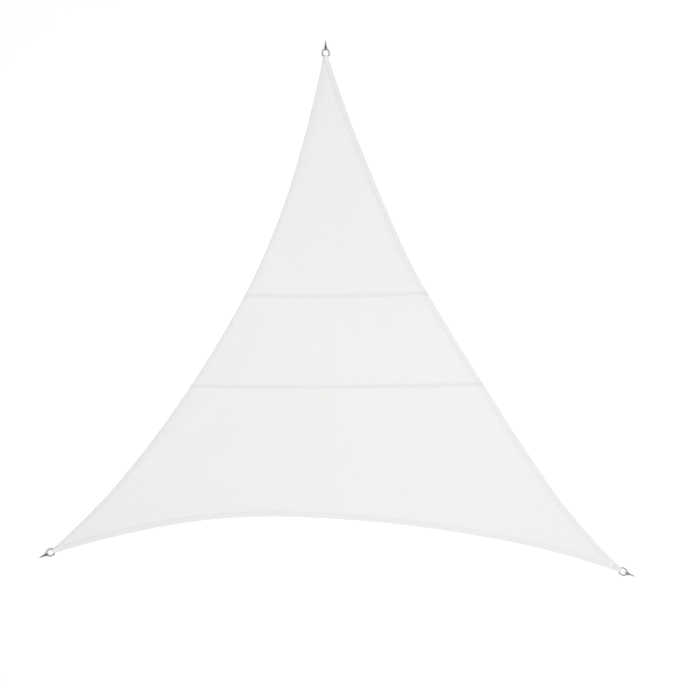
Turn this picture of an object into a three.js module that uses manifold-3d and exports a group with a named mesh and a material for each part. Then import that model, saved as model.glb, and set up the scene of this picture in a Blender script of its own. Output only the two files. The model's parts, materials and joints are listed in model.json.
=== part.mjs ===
// A triangular shade sail, laid flat and face up: three panels of woven cloth joined by two lapped
// seams, hemmed along three edges that bow inwards, with a webbing tab, a steel D-ring and a tapered
// steel peg at each corner. Millimetres, +Z up, origin on the ground under the middle of the whole.

import * as THREE from "three";
import { mergeVertices } from "three/addons/utils/BufferGeometryUtils.js";
import Module from "manifold-3d";

const wasm = await Module();
wasm.setup();

// Where the middle of each ring lies, which way the corner pulls, in degrees from +X, and how far round
// the ring its peg has swung. The corners are in order round the sail, seen from above, and so are the
// edges between them.
const CORNERS = {
  top: { x: -68, y: 1589, pull: 90, swing: 1 },
  left: { x: -1775, y: -1509, pull: 207, swing: -2 },
  right: { x: 1777, y: -1628, pull: 331, swing: 7 },
};

// How far each edge is drawn in from the straight, at each eighth of its length.
const EDGES = [
  { from: "top", to: "left", drawnIn: [123, 219, 274, 285, 263, 214, 132] },
  { from: "left", to: "right", drawnIn: [132, 225, 268, 266, 242, 191, 117] },
  { from: "right", to: "top", drawnIn: [103, 147, 170, 186, 188, 144, 83] },
];
const EDGE_STEPS = 48;

// The seams run nearly level: the height of the middle, the rise from left to right, and the dip of the
// middle below the ends, over half the seam's length.
const SEAMS = {
  high: { middle: 79, rise: 15, dip: 14, half: 567 },
  low: { middle: -482, rise: 12, dip: 12, half: 909 },
};
const SEAM_REACH = 1900;
const SEAM_STEPS = 24;

const CLOTH = 1.2; // thickness of the cloth
const GAP = 0.3; // air between neighbouring pieces
const LAP = 18; // width of cloth on cloth at a seam
const HEM_WIDTH = 30;
const HEM = 2 * CLOTH; // thickness of the turned hem
const TOP_OF_LAP = 2 * CLOTH + GAP;
const TALL = 10; // height of the cutting blocks, above every cloth piece
const FAR = 2200; // reach of the cutting blocks, past every cloth piece

const CLOTH_END = 30; // from the ring's middle back to the end of the cloth
const CLOTH_END_HALF = 15.5;
const WEBBING = 1.4;
const TAB_WIDTH = 20;
const TAB_END = 65; // from the ring's middle back to the end of the webbing
const TAB_CLOSES = 43; // where the upper leg comes down onto the lower one

const WIRE = 2.5; // radius of the ring's wire
const BAR = 20; // from the ring's middle back to its straight bar
const RING_HALF = 21; // half the ring's width, between the middles of its wire
const RING_CORNER = 5;
const RING_LENGTH = 42; // from the bar to the round end, between the middles of the wire

const ROD = 1.8; // radius of the rod that the peg's eye is bent from
const HEAD = 27; // from the ring's middle to the start of the peg's head
const HEAD_HEIGHT = 7; // of the middle of the head's start, above the ground
const TIP_HEIGHT = 0.8; // of the middle of the tip
const FLATNESS = 0.55; // thickness of the head and shank over their width
// Half the width of the peg's head and shank, by distance from the start of the head to the tip.
const SHANK = [
  [0, 5], [0.6, 7.2], [2, 8], [7, 7], [13, 5.3],
  [19, 4.2], [25, 3.5], [37, 2.5], [46, 1.8], [51, 1.4],
];

const BAR_HEIGHT = WIRE + GAP + WEBBING; // the bar lies in a loop of webbing on the ground
const STRAND_HEIGHT = ROD + GAP; // the peg's lower strand bows down a little between its supports
const ROUND_END_HEIGHT = STRAND_HEIGHT + ROD + 0.5 + WIRE; // the round end lies on the peg's lower strand
const OVER_RING = ROUND_END_HEIGHT + WIRE + GAP + ROD;

const MATERIALS = {
  cloth: new THREE.MeshStandardMaterial({ color: 0xf1f0ee, roughness: 0.85, metalness: 0 }),
  webbing: new THREE.MeshStandardMaterial({ color: 0xe9e8e4, roughness: 0.9, metalness: 0 }),
  ring: new THREE.MeshStandardMaterial({ color: 0xa8a9aa, roughness: 0.3, metalness: 1 }),
  peg: new THREE.MeshStandardMaterial({ color: 0x8a8a8a, roughness: 0.4, metalness: 1 }),
};

// ---- closed solids and meshes ----

function solid(geometry) {
  const bare = geometry.clone();
  bare.deleteAttribute("normal");
  bare.deleteAttribute("uv");
  const merged = mergeVertices(bare, 1e-3);
  const mesh = new wasm.Mesh({
    numProp: 3,
    vertProperties: merged.attributes.position.array,
    triVerts: new Uint32Array(merged.index.array),
  });
  return new wasm.Manifold(mesh);
}

function geometryOf(body) {
  const mesh = body.getMesh();
  const geometry = new THREE.BufferGeometry();
  geometry.setAttribute("position", new THREE.BufferAttribute(mesh.vertProperties, 3));
  geometry.setIndex(new THREE.BufferAttribute(mesh.triVerts, 1));
  geometry.computeVertexNormals();
  return geometry;
}

function piece(name, geometry, material) {
  const mesh = new THREE.Mesh(geometry, material);
  mesh.name = name;
  return mesh;
}

// A flat outline raised from one height to another.
function slab(points, low, high) {
  const depth = high - low;
  const geometry = new THREE.ExtrudeGeometry(new THREE.Shape(points), { depth, bevelEnabled: false });
  geometry.translate(0, 0, low);
  return solid(geometry);
}

// ---- cloth ----

// A point at a corner, given outwards along the pull and across it to the left.
function atCorner(name, out, across) {
  const { x, y, pull } = CORNERS[name];
  const turn = THREE.MathUtils.degToRad(pull);
  return new THREE.Vector2(out, across).rotateAround(new THREE.Vector2(), turn).add({ x, y });
}

// How far an edge is drawn in at t, on a smooth line through its sizes and nothing at both ends.
function drawnIn(edge, t) {
  const sizes = [0, ...edge.drawnIn, 0];
  const spans = sizes.length - 1;
  const before = 3 * sizes[0] - 3 * sizes[1] + sizes[2];
  const after = 3 * sizes[spans] - 3 * sizes[spans - 1] + sizes[spans - 2];
  const i = THREE.MathUtils.clamp(Math.floor(t * spans), 0, spans - 1);
  const s = t * spans - i;
  const [a, b, c, d] = [before, ...sizes, after].slice(i, i + 4);
  return b + ((c - a) * s + (2 * a - 5 * b + 4 * c - d) * s ** 2 + (3 * b - a - 3 * c + d) * s ** 3) / 2;
}

// Points along an edge, or along a line that runs inside it at a distance.
function edgeLine(edge, inside = 0) {
  const start = atCorner(edge.from, -CLOTH_END, CLOTH_END_HALF);
  const end = atCorner(edge.to, -CLOTH_END, -CLOTH_END_HALF);
  const along = end.clone().sub(start);
  const inward = new THREE.Vector2(-along.y, along.x).normalize();
  const place = (t) => start.clone().addScaledVector(along, t).addScaledVector(inward, drawnIn(edge, t));
  const points = [];
  for (let i = 0; i <= EDGE_STEPS; i++) {
    const t = i / EDGE_STEPS;
    const slope = place(t + 1e-3).sub(place(t - 1e-3)).normalize();
    points.push(place(t).add({ x: -slope.y * inside, y: slope.x * inside }));
  }
  return points;
}

// The hem is the strip just inside each edge.
function hemStrip(edge) {
  return slab([...edgeLine(edge), ...edgeLine(edge, HEM_WIDTH).reverse()], -TALL, TALL);
}

const wholeCloth = slab(EDGES.flatMap((edge) => edgeLine(edge)), -TALL, TALL);
const wholeHem = EDGES.map(hemStrip).reduce((a, b) => a.add(b)).intersect(wholeCloth);

// A line across the sail, above or below a seam by a distance.
function seamLine(seam, above) {
  return (x) => seam.middle + above + (seam.rise * x) / (2 * seam.half) + seam.dip * (x / seam.half) ** 2;
}

// Everything between two lines across the sail, from one height to another.
function band(lower, upper, low, high) {
  const across = (i) => SEAM_REACH * ((2 * i) / SEAM_STEPS - 1);
  const points = [];
  for (let i = 0; i <= SEAM_STEPS; i++) points.push(new THREE.Vector2(across(i), lower(across(i))));
  for (let i = SEAM_STEPS; i >= 0; i--) points.push(new THREE.Vector2(across(i), upper(across(i))));
  return slab(points, low, high);
}

// A panel's upper margin lies flat under the lap of the panel above it. Its lower margin steps up and
// laps over the panel below it, and the hem runs on over the end of the lap.
function panel(above, below) {
  const start = below ? seamLine(below, LAP / 2 + GAP) : () => -FAR;
  const end = above ? seamLine(above, LAP / 2) : () => FAR;
  const hemEnd = above ? seamLine(above, -LAP / 2 - GAP) : () => FAR;
  const flat = band(start, end, 0, CLOTH).intersect(wholeCloth);
  const body = flat.add(band(start, hemEnd, 0, HEM).intersect(wholeHem));
  if (!below) return body;
  const lapStart = seamLine(below, -LAP / 2);
  const lapEnd = seamLine(below, LAP / 2 + GAP + CLOTH);
  const step = band(start, lapEnd, 0, TOP_OF_LAP);
  const lap = band(lapStart, lapEnd, CLOTH + GAP, TOP_OF_LAP);
  const lapHem = band(lapStart, lapEnd, CLOTH + GAP, TOP_OF_LAP + CLOTH).intersect(wholeHem);
  return body.add(step.add(lap).intersect(wholeCloth)).add(lapHem);
}

// ---- corner fittings: each is made with +X as the way out of the corner ----

// The section of a strap that follows a line, as an outline half its thickness to each side.
function strapOutline(line, thickness) {
  const side = (sign) =>
    line.map((point, i) => {
      const before = point.clone().sub(line[i - 1] ?? point).normalize();
      const after = (line[i + 1] ?? point).clone().sub(point).normalize();
      const along = before.clone().add(after).normalize();
      const mitre = before.lengthSq() && after.lengthSq() ? along.dot(before) : 1;
      const reach = (sign * thickness) / 2 / mitre;
      return point.clone().add({ x: -along.y * reach, y: along.x * reach });
    });
  return [...side(1), ...side(-1).reverse()];
}

// The angle round the bar at which a straight line from a point touches the loop of webbing.
function touchAngle(out, height, radius, over) {
  const dx = -BAR - out;
  const dz = BAR_HEIGHT - height;
  const slope = Math.atan2(dz, dx) + over * Math.asin(radius / Math.hypot(dx, dz));
  return slope + (over * Math.PI) / 2;
}

// The webbing is folded round the bar, and both its legs are sewn to the face of the corner.
function tab() {
  const loop = WIRE + GAP + WEBBING / 2;
  const lowLeg = HEM + GAP + WEBBING / 2;
  const highLeg = lowLeg + WEBBING + GAP;
  const under = touchAngle(-CLOTH_END, lowLeg, loop, -1);
  const over = touchAngle(-TAB_CLOSES, highLeg, loop, 1);
  const line = new THREE.Path();
  line.moveTo(-TAB_END, lowLeg);
  line.lineTo(-CLOTH_END, lowLeg);
  line.absarc(-BAR, BAR_HEIGHT, loop, under, over);
  line.lineTo(-TAB_CLOSES, highLeg);
  line.lineTo(-TAB_END, highLeg);
  const outline = strapOutline(line.getPoints(7), WEBBING);
  const settings = { depth: TAB_WIDTH, bevelEnabled: false };
  const geometry = new THREE.ExtrudeGeometry(new THREE.Shape(outline), settings);
  geometry.rotateX(Math.PI / 2);
  geometry.translate(0, TAB_WIDTH / 2, 0);
  return geometry;
}

// A closed line drawn flat, followed as a curve in space.
class FlatLoop extends THREE.Curve {
  constructor(path) {
    super();
    this.path = path;
  }
  getPoint(t, target = new THREE.Vector3()) {
    const { x, y } = this.path.getPoint(t);
    return target.set(x, y, 0);
  }
}

// A D of round wire, with its straight bar on the Y axis.
function ring() {
  const straight = RING_HALF - RING_CORNER;
  const centre = RING_LENGTH - RING_HALF;
  const quarter = Math.PI / 2;
  const line = new THREE.Path();
  line.moveTo(0, straight);
  line.lineTo(0, -straight);
  line.absarc(RING_CORNER, -straight, RING_CORNER, 2 * quarter, 3 * quarter);
  line.lineTo(centre, -RING_HALF);
  line.absarc(centre, 0, RING_HALF, -quarter, quarter);
  line.lineTo(RING_CORNER, RING_HALF);
  line.absarc(RING_CORNER, straight, RING_CORNER, quarter, 2 * quarter);
  return new THREE.TubeGeometry(new FlatLoop(line), 44, WIRE, 10, true);
}

// A rod bent into a narrow eye round the ring's round end, over it on one side and under it on the
// other, and welded to a flattened head that runs on as a shank, tapering to a blunt tip on the ground.
function peg() {
  const bend = [
    [33, -3.2, 8],
    [29.5, -5.2, OVER_RING - 1.6],
    [25, -6.4, OVER_RING + 0.1],
    [19.6, -6.6, OVER_RING],
    [17.2, -4.2, OVER_RING - 2],
    [17.2, 0, ROUND_END_HEIGHT],
    [17.2, 4.2, STRAND_HEIGHT + 2],
    [19.6, 6.6, STRAND_HEIGHT],
    [25, 6.4, STRAND_HEIGHT],
    [29.5, 5.2, STRAND_HEIGHT + 0.9],
    [33, 3.2, 5],
  ];
  const eye = new THREE.CatmullRomCurve3(bend.map((point) => new THREE.Vector3(...point)));
  const section = new THREE.Shape().absarc(0, 0, ROD, 0, 2 * Math.PI);
  const rod = new THREE.ExtrudeGeometry(section, { extrudePath: eye, steps: 40, curveSegments: 4 });

  const [length] = SHANK.at(-1);
  const profile = [[0, 0], ...SHANK, [length, 0]].map(([along, half]) => new THREE.Vector2(half, along));
  const shank = new THREE.LatheGeometry(profile, 14);
  shank.rotateZ(-Math.PI / 2);
  shank.scale(1, 1, FLATNESS);
  shank.rotateY(Math.atan2(HEAD_HEIGHT - TIP_HEIGHT, length));
  shank.translate(HEAD, 0, HEAD_HEIGHT);
  return geometryOf(solid(rod).add(solid(shank)));
}

function corner(name) {
  const { x, y, pull, swing } = CORNERS[name];
  const group = new THREE.Group();
  group.position.set(x, y, 0);
  group.rotation.z = THREE.MathUtils.degToRad(pull);

  const dRing = piece("ring_" + name, ring(), MATERIALS.ring);
  dRing.position.set(-BAR, 0, BAR_HEIGHT);
  dRing.rotation.y = -Math.asin((ROUND_END_HEIGHT - BAR_HEIGHT) / RING_LENGTH);

  const roundEndCentre = RING_LENGTH - BAR - RING_HALF;
  const pegBody = piece("peg_" + name, peg().translate(-roundEndCentre, 0, 0), MATERIALS.peg);
  pegBody.position.x = roundEndCentre;
  pegBody.rotation.z = THREE.MathUtils.degToRad(swing);

  group.add(piece("tab_" + name, tab(), MATERIALS.webbing));
  group.add(dRing);
  group.add(pegBody);
  return group;
}

// ---- the sail, moved so that the origin is under the middle of its box ----

const sail = new THREE.Group();
sail.add(piece("panel_top", geometryOf(panel(null, SEAMS.high)), MATERIALS.cloth));
sail.add(piece("panel_middle", geometryOf(panel(SEAMS.high, SEAMS.low)), MATERIALS.cloth));
sail.add(piece("panel_foot", geometryOf(panel(SEAMS.low, null)), MATERIALS.cloth));
for (const name of Object.keys(CORNERS)) sail.add(corner(name));

const box = new THREE.Box3().setFromObject(sail, true);
const middle = box.getCenter(new THREE.Vector3());
sail.position.set(-middle.x, -middle.y, -box.min.z);

const part = new THREE.Group();
part.add(sail);
export default part;
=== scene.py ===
import bpy
import json
import math
import numpy as np
from mathutils import Matrix, Vector, geometry


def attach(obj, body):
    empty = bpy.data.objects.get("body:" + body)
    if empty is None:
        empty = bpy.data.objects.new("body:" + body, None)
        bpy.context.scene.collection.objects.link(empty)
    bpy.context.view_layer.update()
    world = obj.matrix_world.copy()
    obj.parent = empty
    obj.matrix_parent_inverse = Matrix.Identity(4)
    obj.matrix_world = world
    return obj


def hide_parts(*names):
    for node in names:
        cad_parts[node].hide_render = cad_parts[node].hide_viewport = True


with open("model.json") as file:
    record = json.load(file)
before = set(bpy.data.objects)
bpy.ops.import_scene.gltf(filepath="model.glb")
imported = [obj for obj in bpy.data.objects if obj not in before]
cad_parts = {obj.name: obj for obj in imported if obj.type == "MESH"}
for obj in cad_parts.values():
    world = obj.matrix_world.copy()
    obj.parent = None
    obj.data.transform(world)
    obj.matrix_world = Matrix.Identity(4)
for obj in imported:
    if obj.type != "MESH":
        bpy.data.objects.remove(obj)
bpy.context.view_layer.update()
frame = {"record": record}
scene = bpy.context.scene

# ==== The camera ====
# It looks straight down on the sail, which lies flat, with a 50 mm lens from high enough to leave a
# border of floor all round.

VIEW_WIDTH = 4.222  # of the floor, from side to side of the picture
VIEW_MIDDLE = (0.0209, -0.1981)
LENS = 50.0
SENSOR = 36.0

camera_data = bpy.data.cameras.new("camera")
camera_data.lens = LENS
camera_data.sensor_width = SENSOR
camera_data.clip_end = 100.0
camera = bpy.data.objects.new("camera", camera_data)
camera.location = (*VIEW_MIDDLE, VIEW_WIDTH * LENS / SENSOR)
scene.collection.objects.link(camera)
scene.camera = camera
scene.view_settings.view_transform = "Standard"

# ==== The studio floor ====
# A matt white floor that carries on past every view, with a faint unevenness in its paint. It is a disc,
# so that its far rim looks the same from all sides.

FLOOR_RADIUS = 60.0
FLOOR_SIDES = 96
FLOOR_BELOW = 0.0002  # clear of the underside of the cloth


def linear(hex_colour):
    """An sRGB hex colour as linear red, green, blue and alpha."""
    parts = [int(hex_colour[i : i + 2], 16) / 255 for i in (1, 3, 5)]
    return [*(c / 12.92 if c <= 0.04045 else ((c + 0.055) / 1.055) ** 2.4 for c in parts), 1.0]


def add_node(tree, kind, settings=None, **links):
    """A node of a kind with its settings. Each link names an input and gives a socket or a value."""
    node = tree.nodes.new(kind)
    for name, value in (settings or {}).items():
        setattr(node, name, value)
    for name, value in links.items():
        key = int(name[1:]) if name[0] == "_" else name.replace("_", " ")
        if isinstance(value, bpy.types.NodeSocket):
            tree.links.new(value, node.inputs[key])
        else:
            node.inputs[key].default_value = value
    return node


def new_material(name, roughness, metallic=0.0):
    """A material with its principled shader, whose plain numbers are set on the shader's own sockets."""
    material = bpy.data.materials.new(name)
    material.use_nodes = True
    shader = material.node_tree.nodes["Principled BSDF"]
    shader.inputs["Roughness"].default_value = roughness
    shader.inputs["Metallic"].default_value = metallic
    return material, material.node_tree, shader


floor_paint, tree, shader = new_material("matt_white_floor_paint", 0.9)
place = add_node(tree, "ShaderNodeTexCoord").outputs["Object"]
patches = add_node(tree, "ShaderNodeTexNoise", Vector=place, Scale=0.8, Detail=2.0)
shade = add_node(
    tree,
    "ShaderNodeMix",
    {"data_type": "RGBA"},
    _0=patches.outputs["Fac"],
    _6=linear("#FBFBFB"),
    _7=linear("#FDFDFD"),
)
tree.links.new(shade.outputs[2], shader.inputs["Base Color"])
shader.inputs["Specular IOR Level"].default_value = 0.1

floor_mesh = bpy.data.meshes.new("floor")
turns = [2 * math.pi * i / FLOOR_SIDES for i in range(FLOOR_SIDES)]
rim = [(FLOOR_RADIUS * math.cos(turn), FLOOR_RADIUS * math.sin(turn), -FLOOR_BELOW) for turn in turns]
floor_mesh.from_pydata(rim, [], [tuple(range(FLOOR_SIDES))])
floor_mesh.materials.append(floor_paint)
floor = bpy.data.objects.new("floor", floor_mesh)
scene.collection.objects.link(floor)

# ==== The studio light ====
# A white surround gives most of the light. A broad lamp high over the right of the sail's foot leaves
# the far corners a little darker, and a soft low light from the right shows the folds.

SURROUND = 0.62
KEY_STRENGTH = 1.0
KEY_ANGLE = math.radians(20)
KEY_FROM = (0.80, -0.42, 0.75)
OVERHEAD_POWER = 150.0
OVERHEAD_PLACE = (0.75, -0.75, 6.6)
OVERHEAD_SIZE = 2.0

world = bpy.data.worlds.new("white_surround")
world.use_nodes = True
world.node_tree.nodes["Background"].inputs["Color"].default_value = (1, 1, 1, 1)
world.node_tree.nodes["Background"].inputs["Strength"].default_value = SURROUND
scene.world = world

key_data = bpy.data.lights.new("key", "SUN")
key_data.energy = KEY_STRENGTH
key_data.angle = KEY_ANGLE
key = bpy.data.objects.new("key", key_data)
key.rotation_euler = Vector(KEY_FROM).to_track_quat("Z", "Y").to_euler()
scene.collection.objects.link(key)

overhead_data = bpy.data.lights.new("overhead", "AREA")
overhead_data.energy = OVERHEAD_POWER
overhead_data.size = OVERHEAD_SIZE
overhead = bpy.data.objects.new("overhead", overhead_data)
overhead.location = OVERHEAD_PLACE
scene.collection.objects.link(overhead)

# ==== The three cloth panels ====
# Plain-woven polyester sail cloth, off-white, cut across the roll as three panels, lapped and sewn at
# two seams, and hemmed all round along edges that bow inwards. It lies flat, with soft low folds that
# fan out from the corners and small puckers where the hems were sewn.

TIP_REACH = 0.0766  # from the centre of a ring's round end to the tip of its peg
ROUND_END_CENTRE = 0.001  # outwards from the middle of the ring
SWING = {"top": 1, "left": -2, "right": 7}  # how far round the ring each peg has swung, in degrees
TOP_RING = (-0.068, 1.589)  # the middle of the top ring, from the point that the seams are measured from
CLOTH_END = 0.030  # from the middle of a ring back to the end of the cloth
CLOTH_END_HALF = 0.0155  # half the width of that end
CLOTH = 0.0012
GAP = 0.0003  # between the two layers of a lap
LAP = 0.018
LAP_RISE = 0.005  # the upper layer comes up to the lap over this width
HEM_WIDTH = 0.030
HEM_STEP = (HEM_WIDTH + 0.0008, HEM_WIDTH - 0.0006)  # where its second layer begins and is whole
HEM_STOP = 0.002  # the second layer stops this far short of a lap
FLAT_CORNER = (0.075, 0.15)  # flat up to the first distance from a ring, full folds past the second
ROUNDING = 0.0006  # the folded edge of the cloth is half round
EDGES = (  # from corner, to corner, how far drawn in from the straight at each eighth of the length
    ("top", "left", (0.123, 0.219, 0.274, 0.285, 0.263, 0.214, 0.132)),
    ("left", "right", (0.132, 0.225, 0.268, 0.266, 0.242, 0.191, 0.117)),
    ("right", "top", (0.103, 0.147, 0.170, 0.186, 0.188, 0.144, 0.083)),
)
SEAMS = {  # height of the middle, rise, dip of the middle, half length
    "high": (0.079, 0.015, 0.014, 0.567),
    "low": (-0.482, 0.012, 0.012, 0.909),
}
PANELS = {"top": (None, "high"), "middle": ("high", "low"), "foot": ("low", None)}

# Folds: bearing from the corner's own line in degrees, start and end distance from the ring, half
# width at the start and at the end, and height.
FOLDS = {
    "top": (
        (-5.5, 0.11, 0.62, 0.007, 0.030, 0.0013),
        (-1.5, 0.12, 0.95, 0.008, 0.042, 0.0012),
        (3.0, 0.11, 0.70, 0.007, 0.034, 0.0014),
        (8.0, 0.22, 1.30, 0.012, 0.050, 0.0013),
        (-11.0, 0.30, 1.60, 0.020, 0.065, 0.0016),
        (-7.0, 0.80, 2.45, 0.040, 0.075, 0.0019),
        (-2.0, 1.20, 2.60, 0.050, 0.085, 0.0017),
        (5.0, 1.05, 2.50, 0.060, 0.110, 0.0016),
        (13.0, 1.30, 2.70, 0.060, 0.100, 0.0014),
    ),
    "left": (
        (-14.0, 0.11, 0.60, 0.007, 0.032, 0.0015),
        (-8.0, 0.12, 1.00, 0.008, 0.048, 0.0015),
        (0.0, 0.11, 0.75, 0.008, 0.040, 0.0016),
        (8.0, 0.12, 0.90, 0.009, 0.045, 0.0013),
        (15.0, 0.14, 0.60, 0.008, 0.030, 0.0014),
        (-17.0, 0.45, 1.90, 0.025, 0.085, 0.0022),
        (-4.0, 0.90, 2.20, 0.045, 0.100, 0.0018),
        (11.0, 0.70, 2.00, 0.035, 0.085, 0.0014),
    ),
    "right": (
        (-13.0, 0.11, 0.65, 0.007, 0.034, 0.0013),
        (-5.0, 0.12, 0.85, 0.008, 0.042, 0.0013),
        (3.0, 0.11, 0.70, 0.008, 0.038, 0.0014),
        (11.0, 0.12, 0.95, 0.009, 0.048, 0.0012),
        (17.0, 0.30, 1.40, 0.018, 0.065, 0.0015),
        (-9.0, 0.80, 2.10, 0.040, 0.100, 0.0013),
        (5.0, 1.00, 2.20, 0.050, 0.110, 0.0012),
    ),
}
PUCKERS = (  # length, phase and weight of each wave
    (0.061, 0.4, 1.0),
    (0.047, 2.1, 0.6),
    (0.093, 4.0, 0.8),
    (0.173, 1.3, 0.9),
)
PUCKER_HEIGHT = 0.0007
PUCKER_LINE = 0.030  # they are highest this far from the edge
PUCKER_WIDTH = 0.022
PUCKER_MEAN = 0.35
PUCKER_SWING = 0.4
STITCH_DENT = 0.00018
DENT_WIDTH = 0.0022
HEM_ROWS = (0.012, 0.026)  # stitch rows, from the edge of the sail
SEAM_ROW = 0.0055  # a stitch row to each side of the middle of a seam
FAR = 9.0  # farther than any two points of the sail are apart


def turned_left(vectors):
    return np.stack([-vectors[..., 1], vectors[..., 0]], axis=-1)


mounts = {mount["name"]: mount for mount in frame["record"]["mounts"]}
corner_out = {}
corner_middle = {}
for name, swing in SWING.items():
    mount = mounts["peg_tip_" + name]
    peg_out = np.array(mount["axis"][:2]) / np.linalg.norm(mount["axis"][:2])
    turn = math.radians(-swing)
    corner_out[name] = math.cos(turn) * peg_out + math.sin(turn) * turned_left(peg_out)
    round_end = np.array(mount["pos_m"][:2]) - TIP_REACH * peg_out
    corner_middle[name] = round_end - ROUND_END_CENTRE * corner_out[name]
seam_origin = corner_middle["top"] - TOP_RING


def at_corner(name, out, across):
    return corner_middle[name] + out * corner_out[name] + across * turned_left(corner_out[name])


def drawn_in(edge, t):
    """How far an edge is drawn in at t, on a smooth line through its sizes and nothing at both ends."""
    sizes = [0.0, *edge[2], 0.0]
    spans = len(sizes) - 1
    before = 3 * sizes[0] - 3 * sizes[1] + sizes[2]
    after = 3 * sizes[-1] - 3 * sizes[-2] + sizes[-3]
    knots = np.array([before, *sizes, after])
    i = np.clip(np.floor(t * spans).astype(int), 0, spans - 1)
    s = t * spans - i
    a, b, c, d = (knots[i + k] for k in range(4))
    return b + ((c - a) * s + (2 * a - 5 * b + 4 * c - d) * s**2 + (3 * b - a - 3 * c + d) * s**3) / 2


def edge_point(edge, t):
    """Points on an edge of the sail, at t from 0 at its start to 1 at its end."""
    start = at_corner(edge[0], -CLOTH_END, CLOTH_END_HALF)
    along = at_corner(edge[1], -CLOTH_END, -CLOTH_END_HALF) - start
    inward = turned_left(along) / np.linalg.norm(along)
    t = np.asarray(t, float)[..., None]
    return start + along * t + inward * drawn_in(edge, t)


def edge_slope(edge, t):
    """Where an edge runs at t, as the change in place for a change of 1 in t."""
    step = 1e-4
    return (edge_point(edge, t + step) - edge_point(edge, t - step)) / (2 * step)


def edge_inward(edge, t):
    slope = edge_slope(edge, t)
    return turned_left(slope) / np.linalg.norm(slope, axis=-1, keepdims=True)


NEAREST_STEPS = 12


def from_edge(edge, points):
    """How far inside an edge each point is, and how far along the edge its nearest place is."""
    start, end = edge_point(edge, np.array([0.0, 1.0]))
    along = end - start
    t = np.clip((points - start) @ along / (along @ along), 0, 1)
    for _ in range(NEAREST_STEPS):
        slope = edge_slope(edge, t)
        miss = points - edge_point(edge, t)
        t = np.clip(t + (miss * slope).sum(-1) / (slope**2).sum(-1), 0, 1)
    inside = ((points - edge_point(edge, t)) * edge_inward(edge, t)).sum(-1)
    return inside, t * np.linalg.norm(along)


def from_edges(points):
    """The distance inside the nearest edge, and the distance along it, each edge with its own offset."""
    edge_offset = 10.0
    found = [from_edge(edge, points) for edge in EDGES]
    inside = np.stack([f[0] for f in found])
    along = np.stack([f[1] + edge_offset * i for i, f in enumerate(found)])
    nearest = inside.argmin(0)
    pick = np.arange(len(points))
    return inside[nearest, pick], along[nearest, pick]


def seam_height(seam, x):
    middle, rise, dip, half = SEAMS[seam]
    x = x - seam_origin[0]
    return seam_origin[1] + middle + rise * x / (2 * half) + dip * (x / half) ** 2


def smooth_step(low, high, values):
    t = np.clip((values - low) / (high - low), 0, 1)
    return t * t * (3 - 2 * t)


FOLD_GROWN = 0.25  # shares of a fold's length, where it has its full height and where it starts to fade
FOLD_FADES = 0.45


def fold_lift(points):
    """How far the folds lift the cloth off the floor."""
    lift = np.zeros(len(points))
    for name, folds in FOLDS.items():
        offset = points - corner_middle[name]
        back = -offset @ corner_out[name]
        across = offset @ turned_left(corner_out[name])
        for bearing, start, end, narrow, wide, height in folds:
            turn = math.radians(bearing)
            along = back * math.cos(turn) + across * math.sin(turn)
            aside = across * math.cos(turn) - back * math.sin(turn)
            share = np.clip((along - start) / (end - start), 0, 1)
            width = narrow + (wide - narrow) * share
            fade = smooth_step(0, FOLD_GROWN, share) * smooth_step(1, FOLD_FADES, share)
            lift = np.maximum(lift, 0) + height * fade * np.exp(-((aside / width) ** 2))
    return lift


def pucker_lift(inside, along):
    """The small waves that sewing leaves along a hem, highest just inside its inner row of stitches."""
    wave = sum(weight * np.sin(2 * np.pi * along / length + phase) for length, phase, weight in PUCKERS)
    window = np.exp(-(((inside - PUCKER_LINE) / PUCKER_WIDTH) ** 2))
    return PUCKER_HEIGHT * window * np.clip(PUCKER_MEAN + PUCKER_SWING * wave, 0, 2)


def stitch_dent(distance, rows):
    return sum(STITCH_DENT * np.exp(-(((distance - row) / DENT_WIDTH) ** 2)) for row in rows)


def from_corners(points):
    """The distance from each point to the middle of the nearest ring."""
    return np.min([np.linalg.norm(points - middle, axis=1) for middle in corner_middle.values()], axis=0)


def cloth_heights(points, above, below):
    """The underside and the face of a panel at each point, and its distances from edge and seams."""
    inside, along = from_edges(points)
    loose = smooth_step(*FLAT_CORNER, from_corners(points))
    under = loose * (fold_lift(points) + pucker_lift(inside, along))
    hem = smooth_step(*HEM_STEP, inside)
    seam_gap = np.full(len(points), FAR)
    if above:
        over = points[:, 1] - seam_height(above, points[:, 0])
        hem = hem * smooth_step(-LAP / 2 - GAP, -LAP / 2 - HEM_STOP, over)
        seam_gap = np.minimum(seam_gap, np.abs(over))
    if below:
        over = points[:, 1] - seam_height(below, points[:, 0])
        under = under + (CLOTH + GAP) * smooth_step(LAP / 2 + LAP_RISE, LAP / 2 + GAP, over)
        seam_gap = np.minimum(seam_gap, np.abs(over))
    face = under + CLOTH * (1 + hem)
    face = face - stitch_dent(inside, HEM_ROWS)
    if below:
        face = face - stitch_dent(seam_gap, (SEAM_ROW,))
    return under, face, inside, seam_gap


CROSSING_POINTS = 4001


def crossing(edge, seam, offset):
    """Where an edge crosses a line at an offset from a seam, as t on the edge."""
    t = np.linspace(0, 1, CROSSING_POINTS)
    points = edge_point(edge, t)
    over = points[:, 1] - seam_height(seam, points[:, 0]) - offset
    order = np.argsort(over)
    return float(np.interp(0.0, over[order], t[order]))


ASKED_CLEAR = 0.002  # from a point that is asked for to the next


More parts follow.
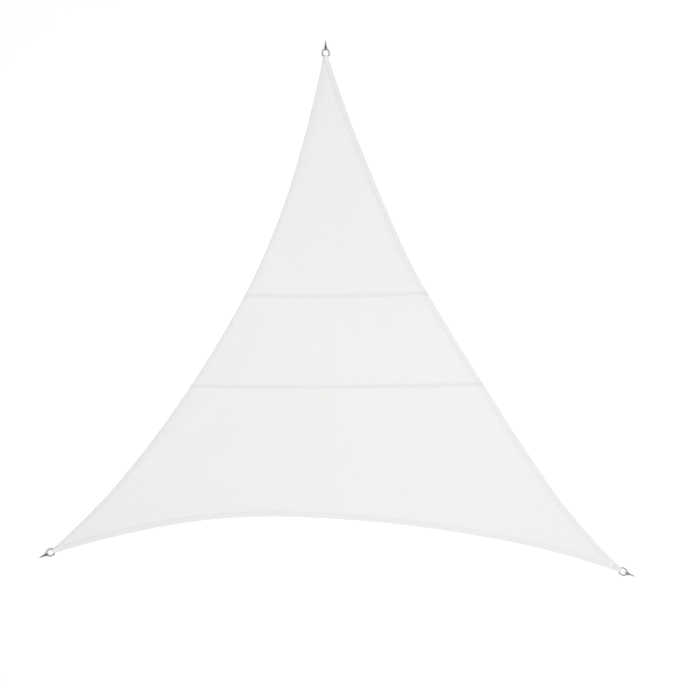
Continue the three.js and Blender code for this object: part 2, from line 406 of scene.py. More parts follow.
def edge_samples(edge, t_from, t_to, spacing, inset, also=()):
    """Points along an edge in even steps, moved in by an inset, and a point at each t that is asked for."""
    slope = np.linalg.norm(edge_slope(edge, np.array([0.5])))
    count = max(2, int(round((t_to - t_from) * slope / spacing)) + 1)
    t = np.linspace(t_from, t_to, count)
    for asked in also:
        t = t[(np.abs(t - asked) * slope > ASKED_CLEAR) | (t == t_from) | (t == t_to)]
    t = np.sort([*t, *also])
    return edge_point(edge, t) + edge_inward(edge, t) * inset


EDGE_SLANT = 1.25  # how far apart along a seam are lines that follow an edge 1 apart


def seam_samples(seam, offset, spacing, inset):
    """Points across the sail along a line at an offset from a seam. Those of each line have the same x."""
    left = edge_point(EDGES[0], crossing(EDGES[0], seam, offset))
    right = edge_point(EDGES[2], crossing(EDGES[2], seam, offset))
    slant = EDGE_SLANT * inset
    first, last = math.ceil((left[0] + slant) / spacing), math.floor((right[0] - slant) / spacing)
    x = spacing * np.arange(first, last + 1)
    return np.stack([x, seam_height(seam, x) + offset], axis=1)


EDGE_SPACING = 0.009
SEAM_SPACING = 0.011
SEAM_END = 0.003  # from the edge of the sail to the first point on the cut edge of a lap
HEM_LINES = (0.0025, 0.006, 0.0095, 0.012, 0.0145, 0.019, 0.0235)
FOLD_LINES = (0.026, 0.028, 0.0295, 0.0308, 0.034, 0.041)  # by the folded edge inside the hem
LAP_LINES = (0.002, 0.0035, 0.0060, 0.009, 0.0120, 0.0145)
STEP_LINES = (0.0175, 0.0186, 0.0205, 0.0235)  # where the cloth steps up at a lap, from its cut edge
GRIDS = ((0.0, 0.30, 0.007), (0.30, 0.62, 0.012), (0.62, FAR, 0.021))  # from, to, spacing
LINE_CLEAR = 0.0015  # from a line of points to the outline
DENSE_TO = 0.045  # the lines along a lap have three times the points up to here from the edge
GRID_IN = (0.047, 0.028)  # from the edge of the sail and from the cut edge of a lap to the grid


def panel_outline(above, below):
    """The outline of a panel, anticlockwise, just inside its rounded edge."""
    high = LAP / 2 - ROUNDING
    low = -LAP / 2 + ROUNDING
    left_from = crossing(EDGES[0], above, high) if above else 0.0
    left_to = crossing(EDGES[0], below, low) if below else 1.0
    right_from = crossing(EDGES[2], below, low) if below else 0.0
    right_to = crossing(EDGES[2], above, high) if above else 1.0
    steps = []
    for seam, side in ((above, -1), (below, 1)):
        if seam:
            steps += [(seam, side * (-LAP / 2 + depth)) for depth in STEP_LINES]
    left_steps, right_steps = ([crossing(edge, *step) for step in steps] for edge in (EDGES[0], EDGES[2]))
    parts = [edge_samples(EDGES[0], left_from, left_to, EDGE_SPACING, ROUNDING, left_steps)]
    if below:
        parts.append(seam_samples(below, low, SEAM_SPACING, SEAM_END))
    else:
        parts.append(edge_samples(EDGES[1], 0, 1, EDGE_SPACING, ROUNDING))
    parts.append(edge_samples(EDGES[2], right_from, right_to, EDGE_SPACING, ROUNDING, right_steps))
    if above:
        parts.append(seam_samples(above, high, SEAM_SPACING, SEAM_END)[::-1])
    return np.concatenate(parts)


def between_seams(points, above, below, margin):
    keep = np.ones(len(points), bool)
    if above:
        keep &= points[:, 1] < seam_height(above, points[:, 0]) + LAP / 2 - margin
    if below:
        keep &= points[:, 1] > seam_height(below, points[:, 0]) - LAP / 2 + margin
    return keep


def panel_points(above, below):
    """The points inside a panel: lines along hems and seams, and a grid that is finer near the corners."""
    groups = []
    for inset in HEM_LINES + FOLD_LINES:
        for edge in EDGES:
            line = edge_samples(edge, 0.0, 1.0, EDGE_SPACING, inset)
            clear = np.ones(len(line), bool)
            for other in EDGES:
                if other is not edge:
                    clear &= from_edge(other, line)[0] > inset + 0.001
            groups.append(line[clear & between_seams(line, above, below, LINE_CLEAR)])
    for seam, side in ((above, -1), (below, 1)):
        if not seam:
            continue
        for depth in LAP_LINES + STEP_LINES:
            line = seam_samples(seam, side * (-LAP / 2 + depth), SEAM_SPACING / 3, 0.001)
            inside = from_edges(line)[0]
            third = np.round(3 * line[:, 0] / SEAM_SPACING).astype(int) % 3 == 0
            groups.append(line[(inside > LINE_CLEAR) & (third | (inside < DENSE_TO))])
    corners = np.array(list(corner_middle.values()))
    low, high = corners.min(axis=0), corners.max(axis=0)
    for start, end, spacing in GRIDS:
        x = np.arange(low[0], high[0], spacing)
        y = np.arange(low[1], high[1], spacing * math.sqrt(0.75))
        grid = np.stack(np.meshgrid(x, y), axis=-1)
        grid[1::2, :, 0] += spacing / 2
        grid = grid.reshape(-1, 2)
        near = from_corners(grid)
        grid = grid[(near >= start) & (near < end)]
        grid = grid[between_seams(grid, above, below, GRID_IN[1])]
        groups.append(grid[from_edges(grid)[0] > GRID_IN[0]])
    return np.concatenate(groups)


MERGE = 1e-5


def panel_mesh(name, above, below):
    """A panel as one closed sheet: a face, an underside and a half-round edge."""
    outline = panel_outline(above, below)
    points = np.concatenate([outline, panel_points(above, below)])
    loop = [list(range(len(outline)))]
    made = geometry.delaunay_2d_cdt([Vector(p) for p in points], [], loop, 1, MERGE)
    flat = np.array([tuple(v) for v in made[0]])
    triangles = np.array(made[2])
    a, b, c = (flat[triangles[:, i]] for i in range(3))
    area = (b[:, 0] - a[:, 0]) * (c[:, 1] - a[:, 1]) - (b[:, 1] - a[:, 1]) * (c[:, 0] - a[:, 0])
    triangles[area < 0] = triangles[area < 0][:, ::-1]

    sides = np.concatenate([triangles[:, [0, 1]], triangles[:, [1, 2]], triangles[:, [2, 0]]])
    keys = {(int(p), int(q)) for p, q in sides}
    follows = {p: q for p, q in keys if (q, p) not in keys}
    start = next(iter(follows))
    border = [start]
    while follows[border[-1]] != start:
        border.append(follows[border[-1]])
    border = np.array(border)

    under, face, inside, seam_gap = cloth_heights(flat, above, below)
    ahead, behind = flat[np.roll(border, -1)], flat[np.roll(border, 1)]
    outward = -turned_left(ahead - behind)
    outward = outward / np.linalg.norm(outward, axis=1, keepdims=True)
    middle = (under[border] + face[border]) / 2
    count, ring = len(flat), len(border)
    vertices = np.concatenate(
        [
            np.column_stack([flat, face]),
            np.column_stack([flat, under]),
            np.column_stack([flat[border] + outward * ROUNDING, middle]),
        ]
    )
    faces = [*triangles.tolist(), *(triangles[:, ::-1] + count).tolist()]
    for i in range(ring):
        j = (i + 1) % ring
        p, q, outer_p, outer_q = int(border[i]), int(border[j]), 2 * count + i, 2 * count + j
        faces.append((q, p, outer_p, outer_q))
        faces.append((p + count, q + count, outer_q, outer_p))

    mesh = bpy.data.meshes.new("sail_panel_" + name)
    mesh.from_pydata(vertices.tolist(), [], faces)
    for label, gap in (("from_edge", inside), ("from_seam", seam_gap)):
        attribute = mesh.attributes.new(label, "FLOAT", "POINT")
        attribute.data.foreach_set("value", np.concatenate([gap, gap, gap[border]]).astype(np.float32))
    mesh.polygons.foreach_set("use_smooth", [True] * len(mesh.polygons))
    mesh.update()
    return mesh


def sum_of(tree, first, second):
    return add_node(tree, "ShaderNodeMath", {"operation": "ADD"}, _0=first, _1=second).outputs[0]


def ramp(tree, value, low, high, at_low, at_high):
    """A value from low to high, turned smoothly into one from at_low to at_high."""
    settings = {"interpolation_type": "SMOOTHSTEP"}
    node = add_node(tree, "ShaderNodeMapRange", settings, _0=value, _1=low, _2=high, _3=at_low, _4=at_high)
    return node.outputs[0]


def near_line(tree, distance, line, half_width):
    """1 on a line at a distance, falling to 0 at half a width to each side."""
    gap = add_node(tree, "ShaderNodeMath", {"operation": "SUBTRACT"}, _0=distance, _1=line)
    gap = add_node(tree, "ShaderNodeMath", {"operation": "ABSOLUTE"}, _0=gap.outputs[0])
    return ramp(tree, gap.outputs[0], 0.0, half_width, 1.0, 0.0)


def darker(tree, colour, mask, tint):
    """A colour multiplied by a tint where a mask is 1."""
    settings = {"data_type": "RGBA", "blend_type": "MULTIPLY"}
    return add_node(tree, "ShaderNodeMix", settings, _0=mask, _6=colour, _7=linear(tint)).outputs[2]


def read_attribute(tree, name):
    return add_node(tree, "ShaderNodeAttribute", {"attribute_name": name}).outputs["Fac"]


def stripes(tree, place, direction, pitch, **uneven):
    """Even stripes across a direction, so many metres apart."""
    settings = {"wave_type": "BANDS", "bands_direction": direction, "wave_profile": "SIN"}
    scale = 2 * math.pi / 20 / pitch  # the pattern's own length is a twentieth of a turn
    return add_node(tree, "ShaderNodeTexWave", settings, Vector=place, Scale=scale, **uneven).outputs["Fac"]


# Woven polyester scatters light evenly, with a soft bloom at low angles. Two layers of it, in a hem or a
# lap, let less light through from below, and this is painted shade: they are painted a shade greyer, the
# hem's grey fading out over the next 30 mm in, and each row of stitches has a painted shade line along it.
# The real threads are 0.4 mm apart, and are drawn 3 mm apart so that they can show at all.
THREAD_PITCH = 0.003

sail_cloth, tree, shader = new_material("plain_woven_polyester", 0.82)
place = add_node(tree, "ShaderNodeTexCoord").outputs["Object"]
hem_gap = read_attribute(tree, "from_edge")
lap_gap = read_attribute(tree, "from_seam")

warp, weft = (stripes(tree, place, axis, THREAD_PITCH, Distortion=0.15, Detail=1.0) for axis in ("X", "Y"))
weave = add_node(tree, "ShaderNodeMath", {"operation": "MULTIPLY"}, _0=warp, _1=weft)
slubs = add_node(tree, "ShaderNodeTexNoise", Vector=place, Scale=90.0, Detail=3.0, Roughness=0.6)
drift = add_node(tree, "ShaderNodeTexNoise", Vector=place, Scale=1.6, Detail=2.0, Roughness=0.5)

colour = add_node(
    tree,
    "ShaderNodeMix",
    {"data_type": "RGBA"},
    _0=drift.outputs["Fac"],
    _6=linear("#E7E6E5"),
    _7=linear("#E9E8E7"),
).outputs[2]
colour = darker(tree, colour, ramp(tree, slubs.outputs["Fac"], 0.35, 0.75, 1.0, 0.0), "#FCFCFB")
colour = darker(tree, colour, ramp(tree, weave.outputs[0], 0.0, 0.6, 1.0, 0.0), "#FAFAFA")
# Painted shade: the two layers of the hem are painted a shade greyer, standing in for less light coming
# through them. A second, softer painted shade covers the hem and fades out from 30 to 60 mm in from the
# edge.
colour = darker(tree, colour, ramp(tree, hem_gap, HEM_WIDTH - 0.001, HEM_WIDTH + 0.001, 1.0, 0.0), "#FEFEFF")
colour = darker(tree, colour, ramp(tree, hem_gap, HEM_WIDTH, 2 * HEM_WIDTH, 1.0, 0.0), "#FDFDFD")
# Painted shade: the lapped seam is painted greyer within 7 mm of its middle, fading out by 12 mm. This
# stands in for less light through its two layers and for the shade along the seam.
colour = darker(tree, colour, ramp(tree, lap_gap, LAP / 2 - 0.002, LAP / 2 + 0.003, 1.0, 0.0), "#FAFAFA")
# Painted shade: a thin grey line along each row of hem stitches, standing in for the shade in their dents.
for row in HEM_ROWS:
    colour = darker(tree, colour, near_line(tree, hem_gap, row, 0.0028), "#FBFBFC")
# Painted shade: a thin grey line along each row of seam stitches, standing in for the shade in their dents.
colour = darker(tree, colour, near_line(tree, lap_gap, SEAM_ROW, 0.0030), "#F6F6F6")
tree.links.new(colour, shader.inputs["Base Color"])
relief = sum_of(tree, weave.outputs[0], slubs.outputs["Fac"])
bump = add_node(tree, "ShaderNodeBump", Height=relief, Strength=0.25, Distance=0.0006)
tree.links.new(bump.outputs["Normal"], shader.inputs["Normal"])
shader.inputs["Sheen Weight"].default_value = 0.15
shader.inputs["Sheen Roughness"].default_value = 0.5
shader.inputs["Specular IOR Level"].default_value = 0.25


def add_piece(name, mesh, material):
    piece = bpy.data.objects.new(name, mesh)
    if material:
        mesh.materials.clear()
        mesh.materials.append(material)
    scene.collection.objects.link(piece)
    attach(piece, "root")
    return piece


for name, (above, below) in PANELS.items():
    panel = add_piece("sail_panel_" + name, panel_mesh(name, above, below), sail_cloth)
    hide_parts("panel_" + name)
    outline = panel_outline(above, below)
    on_edge = from_edges(outline)[0][:-1] < 2 * ROUNDING

# ==== The thread of the seams and hems ====
# White polyester thread, lockstitched in two rows along each lapped seam and in two along each hem, so
# that each stitch shows as a short raised grain. Real ones are 3.5 mm long, and these 6 mm apart.

PITCH = 0.006
STITCH_LENGTH = 0.0048
STITCH_WIDTH = 0.0010
ROW_STEP = 0.004  # between the points of a row's line
ROW_CLEAR = 0.004  # from a row along one edge to the next edge
ROWS_START = 0.069  # from the middle of a ring, by the end of its webbing
SEAM_ROWS_START = 0.006  # from the edge of the sail
SHORTEST_ROW = 3
RAISED = 0.15  # from the face of the cloth to the middle of a stitch, over its width

sewing_thread, tree, shader = new_material("polyester_sewing_thread", 0.55)
place = add_node(tree, "ShaderNodeTexCoord").outputs["Object"]
fibres = add_node(tree, "ShaderNodeTexNoise", Vector=place, Scale=900.0, Detail=2.0)
shade = add_node(
    tree,
    "ShaderNodeMix",
    {"data_type": "RGBA"},
    _0=fibres.outputs["Fac"],
    _6=linear("#EEEEEE"),
    _7=linear("#F5F5F5"),
)
tree.links.new(shade.outputs[2], shader.inputs["Base Color"])
bump = add_node(tree, "ShaderNodeBump", Height=fibres.outputs["Fac"], Strength=0.3, Distance=0.0002)
tree.links.new(bump.outputs["Normal"], shader.inputs["Normal"])
shader.inputs["Sheen Weight"].default_value = 0.2


def stitching_nodes():
    """Nodes that lay one grain of thread at each step along a line."""
    tree = bpy.data.node_groups.new("stitches_along_a_line", "GeometryNodeTree")
    sockets = {}
    for name, kind in (
        ("Line", "NodeSocketGeometry"),
        ("Pitch", "NodeSocketFloat"),
        ("Length", "NodeSocketFloat"),
        ("Width", "NodeSocketFloat"),
        ("Seed", "NodeSocketInt"),
        ("Thread", "NodeSocketMaterial"),
    ):
        sockets[name] = tree.interface.new_socket(name, in_out="INPUT", socket_type=kind).identifier
    tree.interface.new_socket("Stitches", in_out="OUTPUT", socket_type="NodeSocketGeometry")
    given = tree.nodes.new("NodeGroupInput").outputs
    curve = add_node(tree, "GeometryNodeMeshToCurve", Mesh=given["Line"])
    steps = add_node(
        tree,
        "GeometryNodeResampleCurve",
        {"mode": "LENGTH"},
        Curve=curve.outputs["Curve"],
        Length=given["Pitch"],
    )
    grain = add_node(tree, "GeometryNodeMeshUVSphere", Segments=6, Rings=4, Radius=0.5)
    size = add_node(tree, "ShaderNodeCombineXYZ", X=given["Length"], Y=given["Width"], Z=given["Width"])
    grain = add_node(
        tree, "GeometryNodeTransform", Geometry=grain.outputs["Mesh"], Scale=size.outputs["Vector"]
    )
    smooth = add_node(tree, "GeometryNodeSetShadeSmooth", Geometry=grain.outputs["Geometry"])
    tangent = add_node(tree, "GeometryNodeInputTangent").outputs["Tangent"]
    turn = add_node(tree, "FunctionNodeAlignRotationToVector", {"axis": "X"}, Vector=tangent)
    settings = {"data_type": "FLOAT"}
    uneven = add_node(tree, "FunctionNodeRandomValue", settings, _2=0.86, _3=1.08, Seed=given["Seed"])
    laid = add_node(
        tree,
        "GeometryNodeInstanceOnPoints",
        Points=steps.outputs["Curve"],
        Instance=smooth.outputs["Geometry"],
        Rotation=turn.outputs["Rotation"],
        Scale=uneven.outputs[1],
    )
    real = add_node(tree, "GeometryNodeRealizeInstances", Geometry=laid.outputs["Instances"])
    done = add_node(
        tree, "GeometryNodeSetMaterial", Geometry=real.outputs["Geometry"], Material=given["Thread"]
    )
    tree.links.new(done.outputs["Geometry"], tree.nodes.new("NodeGroupOutput").inputs["Stitches"])
    return tree, sockets


stitching, stitching_sockets = stitching_nodes()


def made_mesh(item):
    """The finished shape of an object as a plain mesh. The object itself is then removed."""
    bpy.context.view_layer.update()
    mesh = bpy.data.meshes.new_from_object(item.evaluated_get(bpy.context.evaluated_depsgraph_get()))
    bpy.data.objects.remove(item)
    return mesh


def sewn(name, lines, pitch, length, width, seed):
    """Stitches along each of a set of lines, as one piece."""
    vertices = [tuple(map(float, point)) for line in lines for point in line]
    edges = []
    start = 0
    for line in lines:
        edges += [(start + i, start + i + 1) for i in range(len(line) - 1)]
        start += len(line)
    mesh = bpy.data.meshes.new(name + "_lines")
    mesh.from_pydata(vertices, edges, [])
    item = bpy.data.objects.new(name + "_lines", mesh)
    scene.collection.objects.link(item)
    modifier = item.modifiers.new("stitches", "NODES")
    modifier.node_group = stitching
    for label, value in (
        ("Pitch", pitch),
        ("Length", length),
        ("Width", width),
        ("Seed", seed),
        ("Thread", sewing_thread),
    ):
        modifier[stitching_sockets[label]] = value
    made = made_mesh(item)
    made.name = name
    add_piece(name, made, None)


def sail_face(points):
    """The height of the topmost cloth at each point."""
    height = np.zeros(len(points))
    for above, below in reversed(PANELS.values()):
        here = between_seams(points, above, below, 0.0)
        if above:
            here &= points[:, 1] < seam_height(above, points[:, 0]) - LAP / 2
        height[here] = cloth_heights(points[here], above, below)[1]
    return height


def laid_on_sail(line):
    return np.column_stack([line, sail_face(line) + RAISED * STITCH_WIDTH])


def clear_runs(line, clear):
    """The unbroken runs of a line where it is clear."""
    breaks = np.flatnonzero(np.diff(clear.astype(int))) + 1
    runs = zip(np.split(line, breaks), np.split(clear, breaks))
    return [run for run, kept in runs if kept[0] and len(run) > SHORTEST_ROW]


hem_lines = []
for edge in EDGES:
    for row in HEM_ROWS:
        line = edge_samples(edge, 0.0, 1.0, ROW_STEP, row)
        clear = from_corners(line) > ROWS_START
        for other in EDGES:
            if other is not edge:
                clear &= from_edge(other, line)[0] > ROW_CLEAR
        hem_lines += [laid_on_sail(run) for run in clear_runs(line, clear)]
seam_lines = []
for seam in SEAMS:
    for row in (-SEAM_ROW, SEAM_ROW):
        seam_lines.append(laid_on_sail(seam_samples(seam, row, ROW_STEP, SEAM_ROWS_START)))

sewn("hem_stitches", hem_lines, PITCH, STITCH_LENGTH, STITCH_WIDTH, seed=3)
sewn("seam_stitches", seam_lines, PITCH, STITCH_LENGTH, STITCH_WIDTH, seed=5)

# ==== The three D-rings ====
# Round steel wire 5 mm thick, bent to a D 47 mm wide and butt-welded in the middle of its straight bar,
# where the webbing hides the weld. The round end is propped up by the peg's eye.

WIRE = 0.0025
BAR = 0.020  # from the middle of the ring back to its bar
RING_HALF = 0.021  # these three are to the middle of the wire
RING_CORNER = 0.005
RING_LENGTH = 0.042
BAR_HEIGHT = 0.0042
ROUND_END_HEIGHT = 0.0069
WIRE_SIDES = 20

corner_place = {}
for name in SWING:
    out = Vector((*corner_out[name], 0))
    place = Matrix.Translation((*corner_middle[name], 0))
    corner_place[name] = place @ Matrix([out, (-out.y, out.x, 0), (0, 0, 1)]).transposed().to_4x4()


def round_rod(line, radii, sides, closed):
    """A rod of round section along a line in space, with its radius at each point, as points and faces."""
    line = np.asarray(line, float)
    count = len(line)
    if closed:
        ahead, behind = np.roll(line, -1, axis=0), np.roll(line, 1, axis=0)
    else:
        ahead = np.concatenate([line[1:], line[-1:]])
        behind = np.concatenate([line[:1], line[:-1]])
    along = ahead - behind
    along = along / np.linalg.norm(along, axis=1, keepdims=True)
    side = np.cross(along[0], (0.1, 0.2, 0.9))  # any direction that no rod starts in
    points = []
    turns = np.arange(sides) * 2 * math.pi / sides
    for i in range(count):
        side = side - along[i] * (side @ along[i])
        side = side / np.linalg.norm(side)
        over = np.cross(along[i], side)
        circle = np.outer(np.cos(turns), side) + np.outer(np.sin(turns), over)
        points.append(line[i] + radii[i] * circle)
    faces = []
    for i in range(count if closed else count - 1):
        j = (i + 1) % count
        for k in range(sides):
            m = (k + 1) % sides
            faces.append((i * sides + k, i * sides + m, j * sides + m, j * sides + k))
    if not closed:
        faces.append(tuple(reversed(range(sides))))
        faces.append(tuple((count - 1) * sides + k for k in range(sides)))
    return np.concatenate(points), faces


def arc(centre, radius, start, end, steps):
    angles = np.radians(np.linspace(start, end, steps))
    return np.stack([centre[0] + radius * np.cos(angles), centre[1] + radius * np.sin(angles)], axis=1)


def ring_line():
    """The middle of the wire, laid flat with its bar at x = 0 and its round end to +x."""
    straight = RING_HALF - RING_CORNER
    centre = RING_LENGTH - RING_HALF
    bar = np.linspace((0, straight), (0, -straight), 14)
    side = np.linspace((RING_CORNER, -RING_HALF), (centre, -RING_HALF), 10)
    corner_steps, end_steps = 9, 49
    flat = np.concatenate(
        [
            bar[:-1],
            arc((RING_CORNER, -straight), RING_CORNER, 180, 270, corner_steps)[:-1],
            side[:-1],
            arc((centre, 0), RING_HALF, -90, 90, end_steps)[:-1],
            (side * (1, -1))[::-1][:-1],
            arc((RING_CORNER, straight), RING_CORNER, 90, 180, corner_steps)[:-1],
        ]
    )
    return np.column_stack([flat, np.zeros(len(flat))])


def mesh_of(name, points, faces):
    mesh = bpy.data.meshes.new(name)
    mesh.from_pydata([tuple(map(float, p)) for p in points], [], faces)
    mesh.polygons.foreach_set("use_smooth", [True] * len(mesh.polygons))
    mesh.update()
    return mesh


# Drawn steel wire, zinc plated: an even dull grey with faint draw marks and small brighter rubbed spots.
ring_steel, tree, shader = new_material("zinc_plated_steel_wire", 0.3, metallic=1.0)
place = add_node(tree, "ShaderNodeTexCoord").outputs["Object"]
marks = add_node(tree, "ShaderNodeTexNoise", Vector=place, Scale=700.0, Detail=4.0, Roughness=0.65)
bloom = add_node(tree, "ShaderNodeTexNoise", Vector=place, Scale=120.0, Detail=2.0)
shade = add_node(
    tree,
    "ShaderNodeMix",
    {"data_type": "RGBA"},
    _0=bloom.outputs["Fac"],
    _6=linear("#868686"),
    _7=linear("#9A9A9A"),
)
tree.links.new(shade.outputs[2], shader.inputs["Base Color"])
tree.links.new(ramp(tree, marks.outputs["Fac"], 0.3, 0.7, 0.22, 0.42), shader.inputs["Roughness"])
bump = add_node(tree, "ShaderNodeBump", Height=marks.outputs["Fac"], Strength=0.15, Distance=0.0001)
tree.links.new(bump.outputs["Normal"], shader.inputs["Normal"])

ring_tilt = Matrix.Rotation(-math.asin((ROUND_END_HEIGHT - BAR_HEIGHT) / RING_LENGTH), 4, "Y")
wire = ring_line()
for name, corner in corner_place.items():
    mesh = mesh_of("d_ring_" + name, *round_rod(wire, [WIRE] * len(wire), WIRE_SIDES, closed=True))
    mesh.transform(corner @ Matrix.Translation((-BAR, 0, BAR_HEIGHT)) @ ring_tilt)
    ring = add_piece("d_ring_" + name, mesh, ring_steel)
    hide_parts("ring_" + name)

# ==== The three webbing tabs ====
# Off-white polyester webbing 20 mm wide and 1.4 mm thick, woven in narrow ribs, folded round the bar of
# the ring and laid with both its legs on the face of the corner.

WEBBING = 0.0014
TAB_HALF = 0.010
TAB_END = 0.065  # from the middle of the ring to the ends of the webbing
TAB_CLOSES = 0.043  # and to where its legs meet
TAB_STEP = 0.0012
TAB_SOFTENED = 6  # times that the line of the webbing is smoothed
LOWER_LEG = 0.0034  # height of the middle of each leg
UPPER_LEG = 0.0051
LOOP = 0.0035  # radius of the fold, to the middle of the webbing


def touch_angle(out, height, over):
    """Where round the bar, in degrees, a straight leg from a point meets the fold."""
    across, up = -BAR - out, BAR_HEIGHT - height
    slope = math.atan2(up, across) + over * math.asin(LOOP / math.hypot(across, up))
    return math.degrees(slope + over * math.pi / 2)


def tab_line():
    """The middle of the webbing seen from the side: along the lower leg, round the bar and back."""
    low, high = touch_angle(-CLOTH_END, LOWER_LEG, -1), touch_angle(-TAB_CLOSES, UPPER_LEG, 1)
    fold = arc((-BAR, BAR_HEIGHT), LOOP, low, high, 40)
    parts = [
        np.array([(-TAB_END, LOWER_LEG), (-CLOTH_END, LOWER_LEG), fold[0]]),
        fold,
        np.array([fold[-1], (-TAB_CLOSES, UPPER_LEG), (-TAB_END, UPPER_LEG)]),
    ]
    line = []
    for run in parts:
        for start, end in zip(run[:-1], run[1:]):
            steps = max(1, int(np.linalg.norm(end - start) / TAB_STEP))
            line += [start + (end - start) * i / steps for i in range(steps)]
    line = np.array([*line, parts[-1][-1]])
    for _ in range(TAB_SOFTENED):
        line[1:-1] = line[1:-1] * 0.5 + (line[:-2] + line[2:]) * 0.25
    return line


def tab_mesh(name):
    """The webbing as one closed skin with round edges and a UV in metres along and across it."""
    line = tab_line()
    ahead = np.concatenate([line[1:], line[-1:]])
    behind = np.concatenate([line[:1], line[:-1]])
    along = ahead - behind
    normal = turned_left(along) / np.linalg.norm(along, axis=1, keepdims=True)
    half = WEBBING / 2
    flat = TAB_HALF - half
    across = np.linspace(-flat, flat, 25)
    face = np.stack([across, np.full(len(across), -half)], axis=1)
    bend = arc((flat, 0), half, -90, 90, 7)[1:-1]
    section = np.concatenate([face, bend, -face, -bend])
    sides = len(section)
    points = []
    for (out, height), (n_out, n_up) in zip(line, normal):
        for v, n in section:
            points.append((out + n_out * n, v, height + n_up * n))
    faces = []
    for i in range(len(line) - 1):
        for k in range(sides):
            m = (k + 1) % sides
            faces.append((i * sides + k, i * sides + m, (i + 1) * sides + m, (i + 1) * sides + k))
    faces.append(tuple(reversed(range(sides))))
    faces.append(tuple((len(line) - 1) * sides + k for k in range(sides)))
    mesh = mesh_of(name, points, faces)
    run = np.concatenate([[0], np.cumsum(np.linalg.norm(np.diff(line, axis=0), axis=1))])
    uv = mesh.uv_layers.new(name="strap")
    loops = np.zeros(len(mesh.loops), int)
    mesh.loops.foreach_get("vertex_index", loops)
    places = np.column_stack([run[loops // sides], section[loops % sides, 0]])
    uv.data.foreach_set("uv", places.astype(np.float32).ravel())
    return mesh, float(run[-1])


# Ribs run along the webbing 2 mm apart, crossed by the weft every 1.2 mm, both about twice as coarse as
# real ones so that they can show.
RIB_PITCH = 0.0020
WEFT_PITCH = 0.0012

webbing, tree, shader = new_material("ribbed_polyester_webbing", 0.8)
place = add_node(tree, "ShaderNodeUVMap", {"uv_map": "strap"}).outputs["UV"]
warp = stripes(tree, place, "Y", RIB_PITCH, Distortion=0.3)
weft = stripes(tree, place, "X", WEFT_PITCH, Distortion=0.3)
ribs = add_node(tree, "ShaderNodeMath", {"operation": "MULTIPLY"}, _0=warp, _1=weft)
fuzz = add_node(tree, "ShaderNodeTexNoise", Vector=place, Scale=160.0, Detail=3.0)
shade = add_node(
    tree,
    "ShaderNodeMix",
    {"data_type": "RGBA"},
    _0=fuzz.outputs["Fac"],
    _6=linear("#E8E7E6"),
    _7=linear("#F0EFED"),
).outputs[2]
shade = darker(tree, shade, ramp(tree, ribs.outputs[0], 0.0, 0.5, 1.0, 0.0), "#F1F1F0")
tree.links.new(shade, shader.inputs["Base Color"])
relief = sum_of(tree, ribs.outputs[0], fuzz.outputs["Fac"])
bump = add_node(tree, "ShaderNodeBump", Height=relief, Strength=0.5, Distance=0.0004)
tree.links.new(bump.outputs["Normal"], shader.inputs["Normal"])
shader.inputs["Sheen Weight"].default_value = 0.2

for name, corner in corner_place.items():
    mesh, length = tab_mesh("webbing_tab_" + name)
    mesh.transform(corner)
    tab = add_piece("webbing_tab_" + name, mesh, webbing)
    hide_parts("tab_" + name)

# ==== The stitching of the tabs ====
# A box crossed by an X, lockstitched in the same thread through both legs of the webbing and the corner
# of the sail.

BOX_OUT = (-0.0625, -0.0450)
BOX_HALF = 0.0072
TAB_PITCH = 0.0040
TAB_STITCH = 0.0031
TAB_STITCH_WIDTH = 0.0009
TAB_STITCH_RAISED = 0.0001
TAB_LINE_PARTS = 8
TAB_SEED = 11

box = [(BOX_OUT[0], -BOX_HALF), (BOX_OUT[0], BOX_HALF), (BOX_OUT[1], BOX_HALF), (BOX_OUT[1], -BOX_HALF)]
top_of_tab = UPPER_LEG + WEBBING / 2 + TAB_STITCH_RAISED
for seed, (name, corner) in enumerate(corner_place.items(), TAB_SEED):
    lines = []
    for a, b in ((0, 1), (1, 2), (2, 3), (3, 0), (0, 2), (1, 3)):
        ends = [corner @ Vector((*box[i], top_of_tab)) for i in (a, b)]
        lines.append([ends[0].lerp(ends[1], i / TAB_LINE_PARTS) for i in range(TAB_LINE_PARTS + 1)])
    sewn("tab_stitches_" + name, lines, TAB_PITCH, TAB_STITCH, TAB_STITCH_WIDTH, seed)

# ==== The three pegs ====
# Steel rod 3.6 mm thick, bent to a narrow eye round the ring's round end, over it on one side and under
# it on the other, and welded to a flattened head that tapers into a shank with a blunt tip.

ROD = 0.0018
STRAND = 0.0021  # height of the middle of the lower strand
OVER_RING = 0.0115  # height of the middle of the upper strand
HEAD = 0.027  # from the middle of the ring to the start of the head
HEAD_HEIGHT = 0.0070
TIP_HEIGHT = 0.0008
FLATNESS = 0.55  # thickness of the head and shank over their width
SHANK = (  # distance from the start of the head, half width
    (0.0, 0.0050),
    (0.0006, 0.0072),
    (0.002, 0.0080),
    (0.007, 0.0070),
    (0.013, 0.0053),
    (0.019, 0.0042),
    (0.025, 0.0035),
    (0.037, 0.0025),
    (0.046, 0.0018),
    (0.051, 0.0014),
)
BEND_STEPS = 8
ROD_SIDES = 16
HEAD_SIDES = 24
VOXEL = 0.0004


def smooth_line(bends, steps):
    """A smooth line through bends in space, whose speed follows the root of their distance apart."""
    bends = np.asarray(bends, float)
    bends = np.concatenate([[2 * bends[0] - bends[1]], bends, [2 * bends[-1] - bends[-2]]])
    gaps = np.sqrt(np.linalg.norm(np.diff(bends, axis=0), axis=1))
    line = []
    for i in range(1, len(bends) - 2):
        a, b, c, d = bends[i - 1 : i + 3]
        before, here, after = gaps[i - 1 : i + 2]
        leave = ((b - a) / before - (c - a) / (before + here)) * here + (c - b)
        arrive = (c - b) + ((d - c) / after - (d - b) / (here + after)) * here
        for t in np.arange(steps) / steps:
            line.append(
                (2 * t**3 - 3 * t**2 + 1) * b
                + (t**3 - 2 * t**2 + t) * leave
                + (3 * t**2 - 2 * t**3) * c
                + (t**3 - t**2) * arrive
            )
    return np.array([*line, bends[-2]])


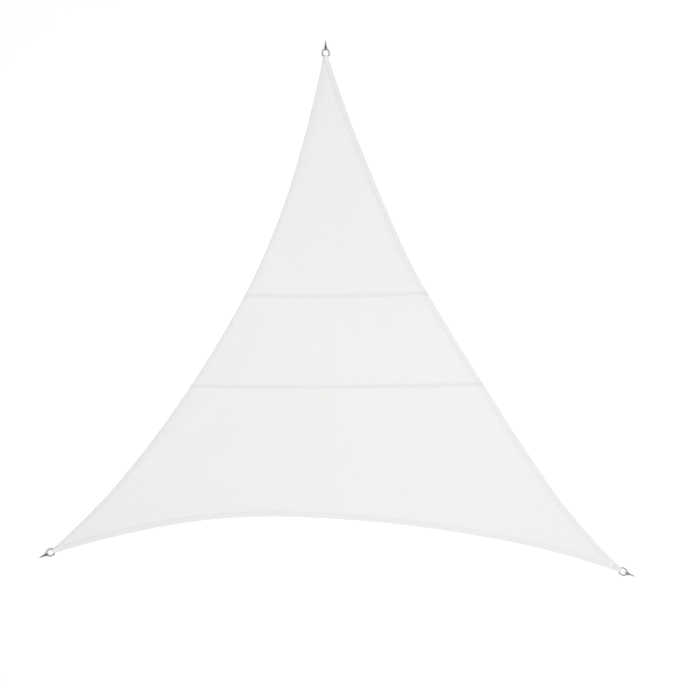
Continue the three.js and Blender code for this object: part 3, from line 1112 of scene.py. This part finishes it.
def peg_mesh():
    """A peg that pulls straight out along +x, in one skin, with the middle of its ring at the origin."""
    bends = [
        (0.0330, -0.0032, 0.0080),
        (0.0295, -0.0052, OVER_RING - 0.0016),
        (0.0250, -0.0064, OVER_RING + 0.0001),
        (0.0196, -0.0066, OVER_RING),
        (0.0172, -0.0042, OVER_RING - 0.0020),
        (0.0172, 0, ROUND_END_HEIGHT),
        (0.0172, 0.0042, STRAND + 0.0020),
        (0.0196, 0.0066, STRAND),
        (0.0250, 0.0064, STRAND),
        (0.0295, 0.0052, STRAND + 0.0009),
        (0.0330, 0.0032, 0.0050),
    ]
    rod = smooth_line(bends, BEND_STEPS)
    points, faces = round_rod(rod, [ROD] * len(rod), ROD_SIDES, closed=False)
    along, halves = zip(*SHANK)
    length = along[-1]
    stations = np.array(sorted({*along, *np.linspace(0.003, length - 0.001, 40)}))
    radii = np.interp(stations, along, halves)
    shank = np.column_stack([stations, np.zeros((len(stations), 2))])
    more_points, more_faces = round_rod(shank, radii, HEAD_SIDES, closed=False)
    slant = Matrix.Rotation(math.atan2(HEAD_HEIGHT - TIP_HEIGHT, length), 4, "Y")
    laid = Matrix.Translation((HEAD, 0, HEAD_HEIGHT)) @ slant @ Matrix.Diagonal((1, 1, FLATNESS, 1))
    more_points = [laid @ Vector(point) for point in more_points]
    faces += [tuple(i + len(points) for i in face) for face in more_faces]
    item = bpy.data.objects.new("peg_form", mesh_of("peg_form", [*points, *more_points], faces))
    scene.collection.objects.link(item)
    remesh = item.modifiers.new("weld", "REMESH")
    remesh.mode = "VOXEL"
    remesh.voxel_size = VOXEL
    soften = item.modifiers.new("soften", "SMOOTH")
    soften.factor = 0.5
    soften.iterations = 4
    mesh = made_mesh(item)
    mesh.polygons.foreach_set("use_smooth", [True] * len(mesh.polygons))
    return mesh


# Mild steel, dull zinc over a drawn and ground surface, darker than the rings.
peg_steel, tree, shader = new_material("dull_zinc_on_mild_steel", 0.42, metallic=1.0)
place = add_node(tree, "ShaderNodeTexCoord").outputs["Object"]
marks = add_node(tree, "ShaderNodeTexNoise", Vector=place, Scale=500.0, Detail=5.0, Roughness=0.7)
bloom = add_node(tree, "ShaderNodeTexVoronoi", Vector=place, Scale=260.0)
shade = add_node(
    tree,
    "ShaderNodeMix",
    {"data_type": "RGBA"},
    _0=bloom.outputs["Distance"],
    _6=linear("#727272"),
    _7=linear("#868686"),
)
tree.links.new(shade.outputs[2], shader.inputs["Base Color"])
tree.links.new(ramp(tree, marks.outputs["Fac"], 0.3, 0.7, 0.32, 0.55), shader.inputs["Roughness"])
bump = add_node(tree, "ShaderNodeBump", Height=marks.outputs["Fac"], Strength=0.25, Distance=0.00015)
tree.links.new(bump.outputs["Normal"], shader.inputs["Normal"])

peg_form = peg_mesh()
centre = Matrix.Translation((ROUND_END_CENTRE, 0, 0))
for name, corner in corner_place.items():
    mesh = peg_form.copy()
    swung = centre @ Matrix.Rotation(math.radians(SWING[name]), 4, "Z") @ centre.inverted()
    mesh.transform(corner @ swung)
    peg = add_piece("peg_" + name + "_steel", mesh, peg_steel)
    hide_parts("peg_" + name)
